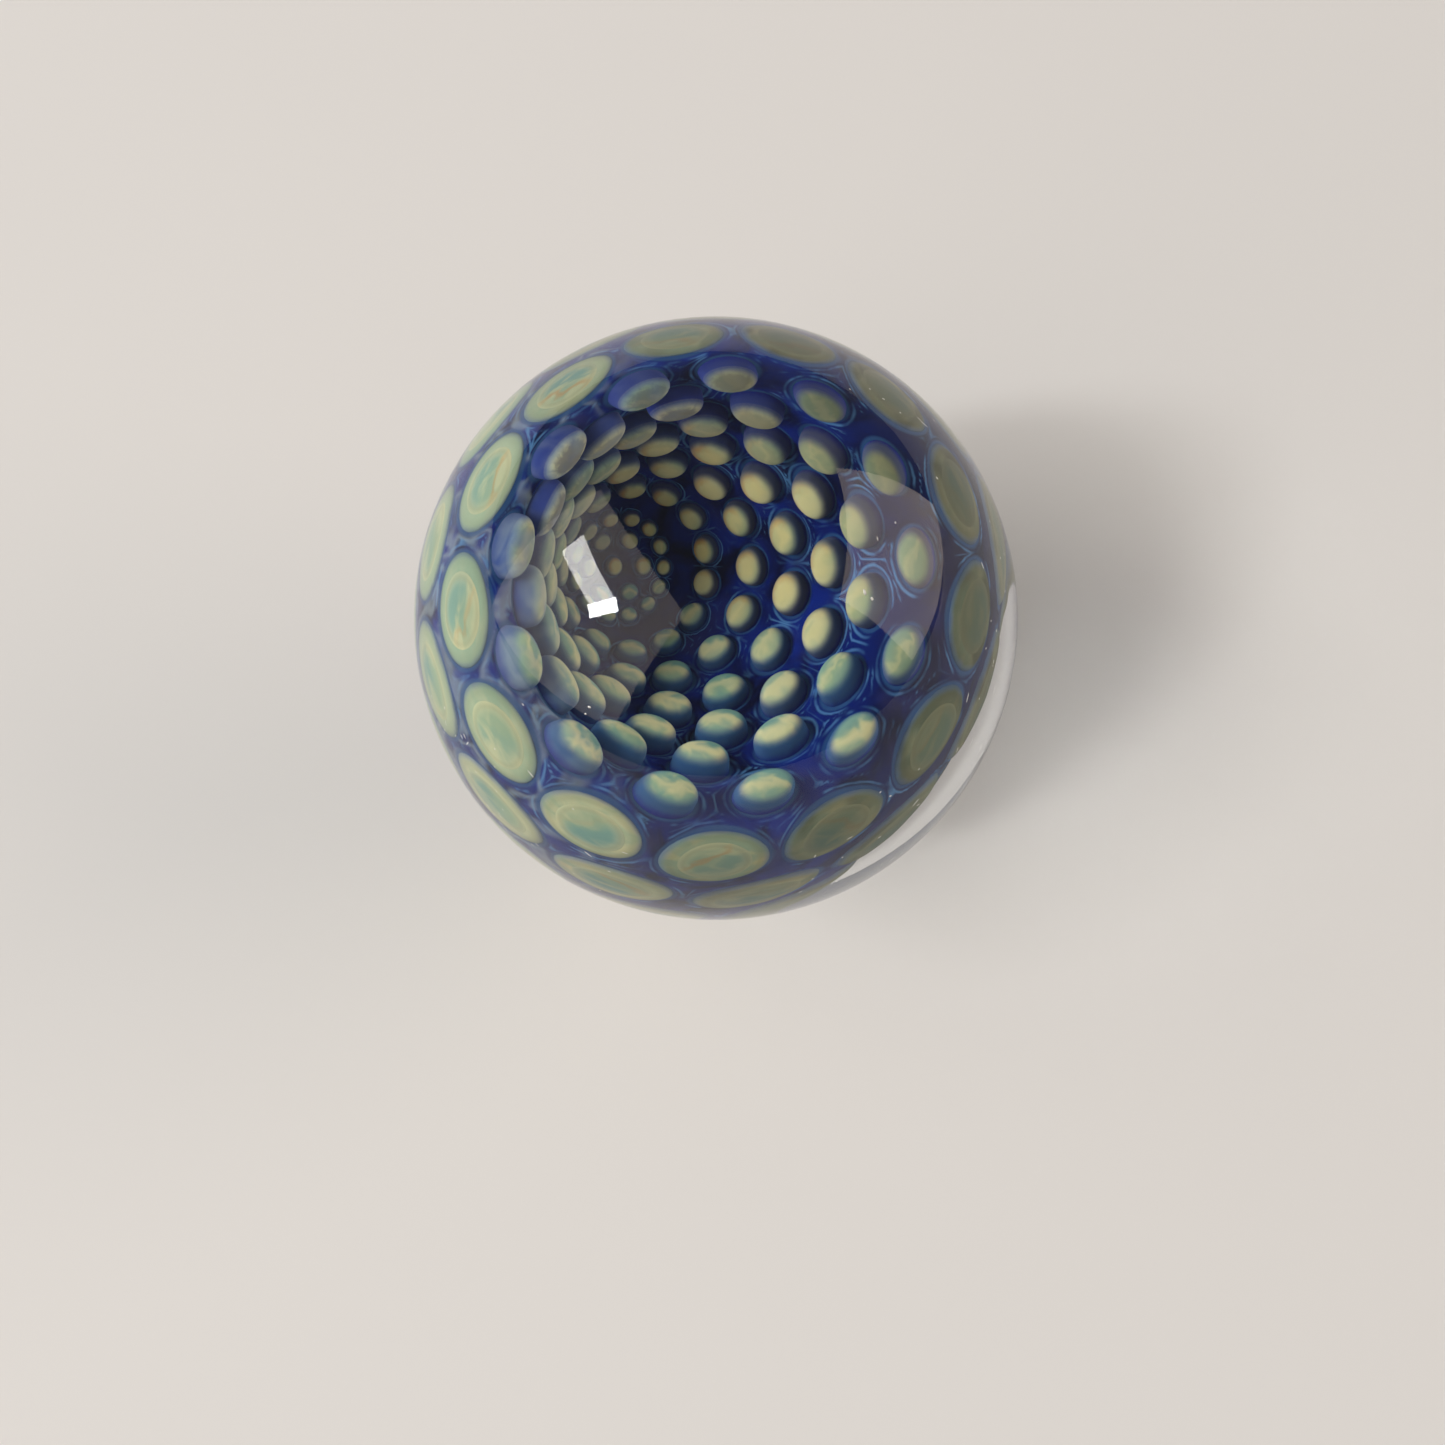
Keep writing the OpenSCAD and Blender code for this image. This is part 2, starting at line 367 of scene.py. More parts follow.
class Dot:
    """Place, directions and half sizes of one dot of the part, in the heart's frame."""

    def __init__(self, heart, sides, corners):
        back = heart.matrix.inverted()
        foot, out = flat_foot(sides)
        self.foot = back @ foot
        self.out = (back.to_3x3() @ out).normalized()
        self.turn = math.atan2(self.foot.y, self.foot.x)
        self.along = Vector((-math.sin(self.turn), math.cos(self.turn), 0))
        self.across = self.out.cross(self.along)
        placed = corners @ np.array(back.to_3x3()).T + np.array(back.translation) - np.array(self.foot)
        self.half_length = np.abs(placed @ np.array(self.along)).max()
        self.half_width = np.abs(placed @ np.array(self.across)).max()
        self.height = (placed @ np.array(self.out)).max()


def dots_of(heart, node):
    """The dots of a CAD node, in order round the heart."""
    dots = [Dot(heart, sides, corners) for sides, corners in loose_solids(node)]
    return sorted(dots, key=lambda dot: dot.turn)


# ---------------------------------------------------------------- shared mesh steps


def deselect_all():
    if bpy.context.object and bpy.context.object.mode != "OBJECT":
        bpy.ops.object.mode_set(mode="OBJECT")
    bpy.ops.object.select_all(action="DESELECT")


def apply_modifier(obj, kind, **settings):
    """Adds a modifier with these settings and applies it."""
    bpy.context.view_layer.objects.active = obj
    modifier = obj.modifiers.new(kind.lower(), kind)
    for name, value in settings.items():
        setattr(modifier, name, value)
    bpy.ops.object.modifier_apply(modifier=modifier.name)


def corners_of(mesh):
    co = np.empty(len(mesh.vertices) * 3)
    mesh.vertices.foreach_get("co", co)
    return co.reshape(-1, 3)


def place_corners(mesh, co):
    mesh.vertices.foreach_set("co", np.ascontiguousarray(co, dtype=np.float32).ravel())
    mesh.update()


def store(mesh, name, kind, values):
    """Writes a value for each corner of the mesh."""
    field = "value" if kind == "FLOAT" else "vector"
    attribute = mesh.attributes.new(name, kind, "POINT")
    attribute.data.foreach_set(field, np.ascontiguousarray(values, dtype=np.float32).ravel())


def finish_piece(obj, name, material, slot, *nodes):
    """Names a piece, gives it its material, hangs it on the body and hides the CAD nodes it stands for, if
    any.
    """
    obj.name = name
    obj.data.name = name
    obj.data.materials.clear()
    obj.data.materials.append(material)
    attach(obj, BODY)
    if nodes:
        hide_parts(*nodes)
    return obj


def raised_dot(name, profile, sides, levels):
    """A round dot of radius 1, drawn up from a circle by extruding and narrowing it in steps."""
    deselect_all()
    first_r, first_z = profile[0]
    bpy.ops.mesh.primitive_circle_add(
        vertices=sides, radius=first_r, location=(0, 0, first_z), fill_type="NGON")
    obj = bpy.context.object
    obj.name = name
    bpy.ops.object.transform_apply(location=True)
    bpy.ops.object.mode_set(mode="EDIT")
    bpy.ops.mesh.select_all(action="SELECT")
    bpy.ops.mesh.select_mode(type="FACE")
    for (r, z), (next_r, next_z) in zip(profile, profile[1:]):
        bpy.ops.mesh.extrude_region_move(TRANSFORM_OT_translate={"value": (0, 0, next_z - z)})
        scale = next_r / r
        bpy.ops.transform.resize(value=(scale, scale, 1), center_override=(0, 0, 0))
    bpy.ops.mesh.select_all(action="SELECT")
    bpy.ops.mesh.normals_make_consistent(inside=False)
    bpy.ops.object.mode_set(mode="OBJECT")
    apply_modifier(obj, "SUBSURF", levels=levels, render_levels=levels)
    return obj


def joined_copies(template, placings, name):
    """One object that holds a copy of the template for each placing.

    A placing is (corners in their places, luck, tone, glow)."""
    mesh = bpy.data.meshes.new(name)
    bm = bmesh.new()
    for _ in placings:
        bm.from_mesh(template.data)
    bm.to_mesh(mesh)
    bm.free()
    shape = corners_of(template.data)
    places, lucks, tones, reflection_hazes = zip(*placings)
    place_corners(mesh, np.concatenate(places))
    store(mesh, "dot_place", "FLOAT_VECTOR", np.tile(shape, (len(placings), 1)))
    store(mesh, "dot_luck", "FLOAT_VECTOR", np.repeat(lucks, len(shape), axis=0))
    store(mesh, "dot_tone", "FLOAT_VECTOR", np.repeat(tones, len(shape), axis=0))
    store(mesh, "dot_reflection_haze", "FLOAT", np.repeat(reflection_hazes, len(shape)))
    obj = bpy.data.objects.new(name, mesh)
    bpy.context.scene.collection.objects.link(obj)
    deselect_all()
    obj.select_set(True)
    bpy.context.view_layer.objects.active = obj
    bpy.ops.object.shade_smooth()
    return obj


def discard(obj):
    bpy.data.objects.remove(obj, do_unlink=True)


def wobbled(shape, rng, amount):
    """A dot's corners with its outline drawn in a little here and there, as a hand-set dot's is."""
    turn = np.arctan2(shape[:, 1], shape[:, 0])
    first, second = rng.uniform(0, 2 * math.pi), rng.uniform(0, 2 * math.pi)
    pull = 0.3 * (1 + np.sin(2 * turn + first)) + 0.2 * (1 + np.sin(3 * turn + second))
    moved = shape.copy()
    moved[:, :2] *= (1 - amount * pull)[:, None]
    return moved


# ---------------------------------------------------------------- materials


class Recipe:
    """A material written node by node, round one Principled shader."""

    def __init__(self, name):
        self.material = bpy.data.materials.new(name)
        self.material.use_nodes = True
        self.tree = self.material.node_tree
        self.shader = self.tree.nodes["Principled BSDF"]
        self.coords = self.tree.nodes.new("ShaderNodeTexCoord").outputs["Object"]

    def fill(self, socket, value):
        if isinstance(value, bpy.types.NodeSocket):
            self.tree.links.new(value, socket)
        else:
            socket.default_value = value

    def set(self, **values):
        """Sets the shader's own sockets, named with underscores for spaces."""
        for name, value in values.items():
            self.fill(self.shader.inputs[name.replace("_", " ")], value)

    def soften(self):
        """Lets light spread a little way inside, as it does in opal glass."""
        self.set(Subsurface_Weight=0.75, Subsurface_Radius=(1.0, 1.0, 0.9), Subsurface_Scale=OPAL_REACH)

    def colour(self, value):
        return (*value, 1.0)

    def parts(self, vector):
        node = self.tree.nodes.new("ShaderNodeSeparateXYZ")
        self.tree.links.new(vector, node.inputs[0])
        return node.outputs[0], node.outputs[1], node.outputs[2]

    def split(self, name):
        """The three numbers of an attribute that the mesh carries."""
        attribute = self.tree.nodes.new("ShaderNodeAttribute")
        attribute.attribute_name = name
        return self.parts(attribute.outputs["Vector"])

    def number(self, name):
        attribute = self.tree.nodes.new("ShaderNodeAttribute")
        attribute.attribute_name = name
        return attribute.outputs["Fac"]

    def noise(self, size_mm, detail=2.0, warp=0.0, vector=None):
        """Cloudy noise between 0 and 1 whose blotches are about size_mm wide."""
        node = self.tree.nodes.new("ShaderNodeTexNoise")
        self.fill(node.inputs["Vector"], vector or self.coords)
        node.inputs["Scale"].default_value = 1 / (size_mm * MM) if vector is None else 1 / size_mm
        node.inputs["Detail"].default_value = detail
        node.inputs["Distortion"].default_value = warp
        return node.outputs["Fac"]

    def joined(self, x, y, z):
        node = self.tree.nodes.new("ShaderNodeCombineXYZ")
        for socket, value in zip(node.inputs, (x, y, z)):
            self.fill(socket, value)
        return node.outputs[0]

    def math(self, operation, a, b=0.0):
        node = self.tree.nodes.new("ShaderNodeMath")
        node.operation = operation
        self.fill(node.inputs[0], a)
        self.fill(node.inputs[1], b)
        return node.outputs[0]

    def plus(self, a, b):
        return self.math("ADD", a, b)

    def minus(self, a, b):
        return self.math("SUBTRACT", a, b)

    def times(self, a, b):
        return self.math("MULTIPLY", a, b)

    def reach(self, x, y):
        """Distance from the middle of a dot, as a share of its radius."""
        return self.math("SQRT", self.plus(self.times(x, x), self.times(y, y)))

    def spread(self, value, start, end):
        """Smooth step from 0 at the start to 1 at the end, where either may be the greater."""
        node = self.tree.nodes.new("ShaderNodeMapRange")
        node.interpolation_type = "SMOOTHSTEP"
        self.fill(node.inputs["Value"], value)
        node.inputs["From Min"].default_value = min(start, end)
        node.inputs["From Max"].default_value = max(start, end)
        if start > end:
            node.inputs["To Min"].default_value = 1.0
            node.inputs["To Max"].default_value = 0.0
        return node.outputs["Result"]

    def hump(self, value, middle, width):
        """1 at the middle, falling smoothly to 0 at width to each side."""
        gap = self.math("ABSOLUTE", self.minus(value, middle))
        return self.minus(1.0, self.spread(gap, 0.0, width))

    def mix(self, factor, a, b):
        node = self.tree.nodes.new("ShaderNodeMix")
        node.data_type = "RGBA"
        self.fill(node.inputs["Factor"], factor)
        self.fill(node.inputs["A"], a if isinstance(a, bpy.types.NodeSocket) else self.colour(a))
        self.fill(node.inputs["B"], b if isinstance(b, bpy.types.NodeSocket) else self.colour(b))
        return node.outputs["Result"]

    def bump(self, height, distance_mm):
        node = self.tree.nodes.new("ShaderNodeBump")
        node.inputs["Distance"].default_value = distance_mm * MM
        node.inputs["Strength"].default_value = 1.0
        self.fill(node.inputs["Height"], height)
        return node.outputs["Normal"]


def clear_glass():
    """Clear glass with faint flame-polished waves."""
    r = Recipe("clear_flame_polished_glass")
    tint = r.mix(r.noise(9, 1), (0.98, 0.99, 0.98), (0.94, 0.965, 0.955))
    r.set(Base_Color=tint, Roughness=0.0, IOR=1.47, Transmission_Weight=1.0)
    r.set(Normal=r.bump(r.noise(5, 1), 0.02))
    return r.material


def cobalt_glass(c):
    """Cobalt ground, with thin light lines where the dots' cells meet.

    It is darkened to navy deep in the cup and on the marble's right side as painted shade, and has pale
    veins of painted reflection on the left."""
    r = Recipe("streaky_cobalt_glass")
    near, after, depth = r.split("cell")
    cloud = r.noise(2.6, 3, 0.6)
    base = r.mix(r.spread(cloud, 0.3, 0.6), c.navy, c.cobalt)
    # Painted shade: darker deep in the cup.
    base = r.mix(r.times(r.spread(depth, 0.6, 1.0), 0.5), base, c.navy)
    sideways = r.math("DIVIDE", r.parts(r.coords)[0], MM)
    # Painted shade: darker toward the marble's right side.
    base = r.mix(r.times(r.spread(sideways, 3.0, 9.0), 0.75), base, c.navy)
    smoke = r.spread(r.noise(3.4, 2, 0.3), 0.5, 0.75)
    base = r.mix(r.times(smoke, 0.6), base, c.smoke)
    ragged = r.times(r.minus(r.noise(1.1, 2, 0.6), 0.5), 0.16)
    meet = r.spread(r.plus(r.minus(after, near), ragged), 0.15, 0.0)
    meet = r.times(meet, r.spread(near, 1.8, 1.5))
    halo = r.times(r.hump(r.plus(near, ragged), 1.22, 0.1), 0.9)
    broken = r.spread(r.noise(1.9, 2, 0.5), 0.42, 0.66)
    lines = r.times(r.math("MAXIMUM", meet, halo), broken)
    base = r.mix(r.times(lines, 0.8), base, c.cell)
    # Painted reflection: pale veins of haze on the left side, near the dots.
    veins = r.times(r.hump(r.noise(3.2, 1, 0.8), 0.5, 0.12), r.spread(sideways, -3.0, -9.0))
    veins = r.times(veins, r.spread(near, 3.8, 2.2))
    base = r.mix(r.times(veins, 0.5), base, c.haze)
    base = r.mix(r.times(r.spread(near, 1.16, 1.0), 0.8), base, c.skirt)
    r.set(Base_Color=base, Roughness=0.4, Specular_IOR_Level=0.0)
    return r.material


def small_dot_glass(c):
    """Cream and pale green opal with aqua sides, a mauve or teal skirt and a blue foot; painted shade on
    the right side and a painted haze of reflection on the left.
    """
    r = Recipe("small_opal_dots")
    x, y, z = r.split("dot_place")
    shade, warmth, coolness = r.split("dot_luck")
    mauve, shadow, spin = r.split("dot_tone")
    cloud = r.noise(1.3, 2, 0.5)
    fine = r.noise(0.45, 3, 0.7)
    reach = r.reach(x, y)
    ragged = r.minus(fine, 0.5)
    flow = r.times(r.minus(r.noise(1.0, 1, 0.9), 0.5), 1.6)
    # Cream lies as a curved streak over the green, and aqua lies to both sides of it.
    bend = r.times(r.times(x, x), r.minus(spin, 0.5))
    across = r.plus(r.plus(y, bend), r.plus(flow, r.times(x, spin)))
    body = r.mix(r.spread(r.plus(cloud, r.times(shade, 0.6)), 0.45, 1.05), c.pale_green, c.cream)
    body = r.mix(r.times(coolness, r.spread(across, -0.1, 0.7)), body, c.aqua)
    body = r.mix(r.times(coolness, r.times(r.spread(across, -0.1, -0.9), 0.7)), body, c.aqua)
    body = r.mix(r.times(r.hump(across, 0.0, 0.4), 0.6), body, c.cream)
    body = r.mix(r.times(warmth, r.spread(reach, 1.0, 0.3)), body, c.warm)
    sweep = r.plus(reach, r.times(ragged, 0.5))
    streak = r.times(r.hump(sweep, 0.7, 0.34), r.spread(r.plus(x, y), -0.5, 0.7))
    body = r.mix(r.times(r.times(streak, warmth), 0.9), body, c.brown)
    body = r.mix(r.times(r.spread(sweep, 0.9, 0.5), mauve), body, c.side)
    # Painted shade: dots toward the marble's right side are mixed toward olive.
    body = r.mix(r.times(shadow, 0.75), body, c.olive)
    # Painted reflection: dots on the left side get a pale haze with light blue smears over their body,
    # skirt and foot.
    reflection_haze = r.number("dot_reflection_haze")
    patchy = r.mix(r.spread(r.noise(1.7, 1, 0.8), 0.22, 0.86), c.smear, c.haze)
    edge = r.mix(reflection_haze, r.mix(coolness, r.mix(mauve, c.side, c.foot), c.skirt), patchy)
    body = r.mix(r.times(reflection_haze, r.spread(r.noise(1.8, 1, 0.8), 0.3, 0.85)), body, patchy)
    body = r.mix(r.times(r.spread(r.plus(reach, r.times(ragged, 0.12)), 0.6, 1.0), 0.8),
                 body, edge)
    skirt = r.plus(z, r.times(ragged, 0.2))
    body = r.mix(r.times(r.spread(skirt, 0.84, 0.5), 0.9), body, edge)
    body = r.mix(r.times(r.spread(z, 0.66, 0.5), r.times(mauve, 0.9)), body, c.foot)
    foot = r.mix(r.times(reflection_haze, 0.5), c.foot, patchy)
    body = r.mix(r.spread(skirt, 0.4, -0.1), body, foot)
    rim = r.times(r.hump(reach, 0.93, 0.05), r.times(mauve, r.spread(z, 0.5, 0.66)))
    body = r.mix(r.times(rim, 0.7), body, c.cream)
    r.set(Base_Color=body, Roughness=0.45, Specular_IOR_Level=0.0)
    r.soften()
    return r.material


def big_dot_glass(c):
    """Cream opal of the big dots, in soft bands with faint yellow streaks.

    It is greener on the marble's left side and has painted shade on the right."""
    r = Recipe("big_opal_dots")
    x, y, z = r.split("dot_place")
    shade, warmth, _ = r.split("dot_luck")
    left, shadow, _ = r.split("dot_tone")
    reach = r.reach(x, y)
    offset = r.times(shade, 9.0)
    streaks = r.noise(0.7, 3, 0.4, r.joined(r.plus(x, offset), r.times(y, 2.0), shade))
    wander = r.plus(reach, r.times(r.minus(streaks, 0.5), 0.16))
    body = r.mix(r.spread(r.plus(streaks, r.times(shade, 0.3)), 0.35, 0.95), c.pale_green, c.cream)
    body = r.mix(r.times(r.spread(streaks, 0.45, 0.8), r.times(warmth, 0.6)), body, c.warm)
    body = r.mix(r.times(r.hump(wander, 0.83, 0.14), 0.25), body, c.olive)
    body = r.mix(r.times(left, 0.6), body, r.mix(streaks, c.pale_green, c.aqua))
    # Painted shade: toward the marble's right side the dots are mixed, in patches, toward dark olive.
    patchy = r.plus(0.78, r.times(r.spread(r.noise(2.4, 1, 0.6), 0.4, 0.62), 0.2))
    body = r.mix(r.times(shadow, patchy), body, c.shade_olive)
    body = r.mix(r.times(r.spread(wander, 0.82, 1.02), 0.8), body, c.skirt)
    body = r.mix(r.spread(z, -0.02, -0.3), body, c.foot)
    r.set(Base_Color=body, Roughness=0.45, Specular_IOR_Level=0.0)
    return r.material


def core_glass(c):
    """Pale green opal core: an aqua wedge to one side, cream to the other, and a faint orange streak."""
    r = Recipe("opal_cores")
    x, y, _ = r.split("dot_place")
    shade, warmth, coolness = r.split("dot_luck")
    _, shadow, spin = r.split("dot_tone")
    offset = r.times(shade, 9.0)
    flow = r.noise(0.8, 3, 0.6, r.joined(r.plus(x, offset), r.times(y, 1.8), offset))
    bent = r.times(r.minus(flow, 0.5), 0.9)
    reach = r.reach(x, y)
    lean = r.minus(r.times(spin, 2.4), 1.2)
    wedge = r.plus(r.plus(r.times(x, lean), r.times(y, 0.9)), bent)
    body = r.mix(r.times(r.spread(wedge, 0.3, -0.3), coolness), c.pale_green, c.aqua)
    body = r.mix(r.times(r.spread(flow, 0.42, 0.75), 0.7), body, c.cream)
    streak = r.hump(wedge, 0.28, 0.16)
    body = r.mix(r.times(r.times(streak, warmth), 0.6), body, c.brown)
    body = r.mix(r.times(r.spread(reach, 0.36, 0.66), 0.6), body, c.cream)
    body = r.mix(r.times(r.hump(reach, 0.57, 0.09), 0.15), body, c.olive)
    # Painted shade toward the marble's right side.
    body = r.mix(r.times(shadow, 0.84), body, c.shade_olive)
    r.set(Base_Color=body, Roughness=0.45, Specular_IOR_Level=0.0)
    return r.material


def floor_paint(colour):
    r = Recipe("pale_floor")
    tone = r.mix(r.noise(60, 2), colour, tuple(0.97 * c for c in colour))
    r.set(Base_Color=tone, Roughness=0.7, Specular_IOR_Level=0.2)
    return r.material


# ---------------------------------------------------------------- operators


def heart_now():
    return Heart(bpy.context.scene.marble_sizes)


class MARBLE_OT_ground(bpy.types.Operator):
    """Models the cobalt ground of the heart, with a shallow cell round each dot."""

    bl_idname = "marble.ground"
    bl_label = "Cobalt ground"

    def execute(self, context):
        sizes = context.scene.marble_sizes
        heart = heart_now()
        deselect_all()
        bpy.ops.mesh.primitive_grid_add(
            x_subdivisions=sizes.steps_around, y_subdivisions=sizes.steps_along, size=1, location=(0, 0, 0))
        obj = bpy.context.object
        mesh = obj.data
        flat = corners_of(mesh)
        turn = (flat[:, 0] + 0.5) * 2 * math.pi
        share = flat[:, 1] + 0.5
        # No dots stand near the pole of the back, so that stretch takes only a quarter of the steps.
        bare = 0.4 * heart.lip_top / heart.length
        share = np.where(share < 0.25, share * bare / 0.25, bare + (share - 0.25) * (1 - bare) / 0.75)
        found = [heart.outline(s * heart.length) for s in np.clip(share, 0, 1)]
        radius = np.array([max(p.x, 0) for p, _ in found])
        height = np.array([p.y for p, _ in found])
        place_corners(mesh, np.c_[radius * np.cos(turn), radius * np.sin(turn), height])
        bpy.ops.object.mode_set(mode="EDIT")
        bpy.ops.mesh.select_all(action="SELECT")
        bpy.ops.mesh.remove_doubles(threshold=MERGE)
        bpy.ops.mesh.normals_make_consistent(inside=False)
        bpy.ops.object.mode_set(mode="OBJECT")
        co = corners_of(mesh)
        near = np.full(len(co), FAR)
        after = np.full(len(co), FAR)
        for row in BIG_ROWS + SMALL_ROWS:
            for dot in dots_of(heart, row):
                arm = co - np.array(dot.foot)
                up = arm @ np.array(dot.out)
                x = arm @ np.array(dot.along) / dot.half_length
                y = arm @ np.array(dot.across) / dot.half_width
                ratio = np.where(np.abs(up) < 3 * MM, np.hypot(x, y), FAR)
                ratio = 1 + (ratio - 1) * (1.0 if row in SMALL_ROWS else 2.2)
                ratio = np.clip(ratio, 0, FAR)
                after = np.minimum(after, np.maximum(near, ratio))
                near = np.minimum(near, ratio)
        s = heart.along(np.c_[np.hypot(co[:, 0], co[:, 1]), co[:, 2]])
        depth = np.clip((s - heart.lip_top) / (heart.length - heart.lip_top), 0, 1)
        normals = np.empty(len(co) * 3)
        mesh.vertices.foreach_get("normal", normals)
        # Each dot sits in a shallow well with a faint ridge round it.
        ridge = 0.05 * np.exp(-(((near - 1.27) / 0.1) ** 2))
        well = 0.06 * np.exp(-(((near - 1.02) / 0.12) ** 2))
        co = co + normals.reshape(-1, 3) * ((ridge - well) * MM)[:, None]
        place_corners(mesh, co)
        store(mesh, "cell", "FLOAT_VECTOR", np.c_[near, after, depth])
        mesh.transform(heart.matrix)
        bpy.ops.object.shade_smooth()
        material = cobalt_glass(context.scene.marble_colours)
        finish_piece(obj, "cobalt_ground", material, "cobalt_glass", "cobalt_heart")
        return {"FINISHED"}


class MARBLE_OT_small_dots(bpy.types.Operator):
    """Models the rows of small domed dots on the lip and down the cup."""

    bl_idname = "marble.small_dots"
    bl_label = "Small dots"

    def execute(self, context):
        heart = heart_now()
        wobble = context.scene.marble_sizes.wobble
        material = small_dot_glass(context.scene.marble_colours)
        template = raised_dot("small_dot_pattern", SMALL_DOT, SMALL_SIDES, 1)
        low = min(z for _, z in SMALL_DOT)
        tall = max(z for _, z in SMALL_DOT) - low
        rng = random.Random(SMALL_SEED)
        for number, row in enumerate(SMALL_ROWS):
            placings = []
            for dot in dots_of(heart, row):
                outline = wobbled(corners_of(template.data), rng, wobble)
                lean = Vector((rng.uniform(-LEAN, LEAN), rng.uniform(-LEAN, LEAN)))
                up = (outline[:, 2] - low) * dot.height / tall
                x = outline[:, 0] * dot.half_length + lean.x * up
                y = outline[:, 1] * dot.half_width + lean.y * up
                places = (
                    np.array(dot.foot) + x[:, None] * np.array(dot.along)
                    + y[:, None] * np.array(dot.across) + up[:, None] * np.array(dot.out))
                warmth, coolness, mauve, shadow, reflection_haze = tints(dot.turn, number, rng)
                luck = (rng.random(), warmth, coolness)
                placings.append((places, luck, (mauve, shadow, rng.random()), reflection_haze))
            obj = joined_copies(template, placings, row)
            obj.data.transform(heart.matrix)
            finish_piece(obj, "opal_" + row, material, "pale_opal_glass", row)
        discard(template)
        return {"FINISHED"}


def held(value):
    """The value, kept between 0 and 1."""
    return max(0.0, min(1.0, value))


def tints(turn, row, rng):
    """How warm, cool and mauve a small dot is, and how much painted shade and painted reflection haze it
    gets, from its way round the cup and its row.
    """
    lower = -math.sin(turn + math.radians(10))
    upper = math.sin(turn - math.radians(25))
    deep = min(1, row / 3)
    warmth = held(2.0 * (math.cos(turn - math.radians(45)) - 0.1)) * deep * rng.uniform(0.5, 1)
    coolness = held(1.5 * lower) * rng.uniform(0.6, 1) + rng.uniform(0.1, 0.4)
    mauve = held(1.6 * (upper - 0.2)) * (1 - 0.6 * deep) * rng.uniform(0.6, 1)
    # Painted shade: outer-row dots toward the marble's right side.
    shadow = max(0.0, math.cos(turn - math.radians(35))) * (1 - deep) * rng.uniform(0.6, 1)
    # Painted reflection haze: dots toward the marble's left side.
    reflection_haze = max(0.0, -math.cos(turn + math.radians(15))) * (1 - 0.5 * deep) * rng.uniform(0.7, 1)
    return warmth * (1 - 0.4 * coolness), min(1.0, coolness), mauve, shadow, reflection_haze


def wrapped(heart, dot, outline, sink):
    """Corners of a big dot laid over the curved heart: x round it, y along its outline, z out of it."""
    skin = dot.foot + dot.out * sink
    middle = heart.along(np.array([[math.hypot(skin.x, skin.y), skin.z]]))[0]
    radius = math.hypot(skin.x, skin.y)
    turn = dot.turn + outline[:, 0] * dot.half_length / radius
    # Across runs away from the cup's mouth or toward it, by which way out and along face.
    way = 1 if dot.across.dot(heart_step(heart, middle, dot.turn)) > 0 else -1
    s = middle + way * outline[:, 1] * dot.half_width
    places = []
    for length, angle, up in zip(s, turn, outline[:, 2] * MM):
        point, out = heart.outline(length)
        reach = point.x + up * math.cos(out)
        places.append((reach * math.cos(angle), reach * math.sin(angle), point.y + up * math.sin(out)))
    return np.array(places)


def heart_step(heart, s, turn):
    """Direction along the outline at a length and a turn round the heart."""
    a, _ = heart.outline(s)
    b, _ = heart.outline(s + 0.1 * MM)
    step = b - a
    return Vector((step.x * math.cos(turn), step.x * math.sin(turn), step.y))


class MARBLE_OT_big_dots(bpy.types.Operator):
    """Models the four rows of big stacked dots outside the lip, each a cream dot and its green core."""

    bl_idname = "marble.big_dots"
    bl_label = "Big dots"

    def execute(self, context):
        heart = heart_now()
        wobble = context.scene.marble_sizes.wobble * 0.5
        colours = context.scene.marble_colours
        cream = big_dot_glass(colours)
        green = core_glass(colours)
        dot_pattern = raised_dot("big_dot_pattern", BIG_DOT, BIG_SIDES, 1)
        core_pattern = raised_dot("big_core_pattern", BIG_CORE, BIG_SIDES, 1)
        rng = random.Random(BIG_SEED)
        for row, core_row in zip(BIG_ROWS, CORE_ROWS):
            rims = []
            middles = []
            for dot in dots_of(heart, row):
                sink = skin_gap(heart, dot)
                seed = rng.random()
                luck = (rng.random(), rng.random() ** 1.5, rng.uniform(0.4, 1))
                # Painted shade: how far a big dot toward the marble's right side is darkened.
                shadow = held(0.55 + math.cos(dot.turn - math.radians(15))) * rng.uniform(0.85, 1)
                tone = (max(0.0, -math.cos(dot.turn + math.radians(20))), shadow, rng.random())
                for pattern, placings in ((dot_pattern, rims), (core_pattern, middles)):
                    outline = wobbled(corners_of(pattern.data), random.Random(seed), wobble)
                    placings.append((wrapped(heart, dot, outline, sink), luck, tone, 0.0))
            for pattern, placings, name, material, slot in (
                (dot_pattern, rims, row, cream, "cream_opal_glass"),
                (core_pattern, middles, core_row, green, "green_opal_glass"),
            ):
                obj = joined_copies(pattern, placings, name)
                obj.data.transform(heart.matrix)
                finish_piece(obj, "opal_" + name, material, slot, name)
        discard(dot_pattern)
        discard(core_pattern)
        return {"FINISHED"}


def skin_gap(heart, dot):
    """How far the ground lies above a dot's foot."""
    best = None
    for step in range(0, 40):
        up = step * 0.05 * MM
        p = dot.foot + dot.out * up
        flat = np.array([[math.hypot(p.x, p.y), p.z]])
        gap = np.sqrt(((heart.samples - flat) ** 2).sum(1).min())
        if best is None or gap < best[0]:
            best = (gap, up)
    return best[1]


def ball_place():
    """Centre and radius of the ball."""
    low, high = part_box("clear_casing")
    return (low + high) / 2, (high - low).x / 2


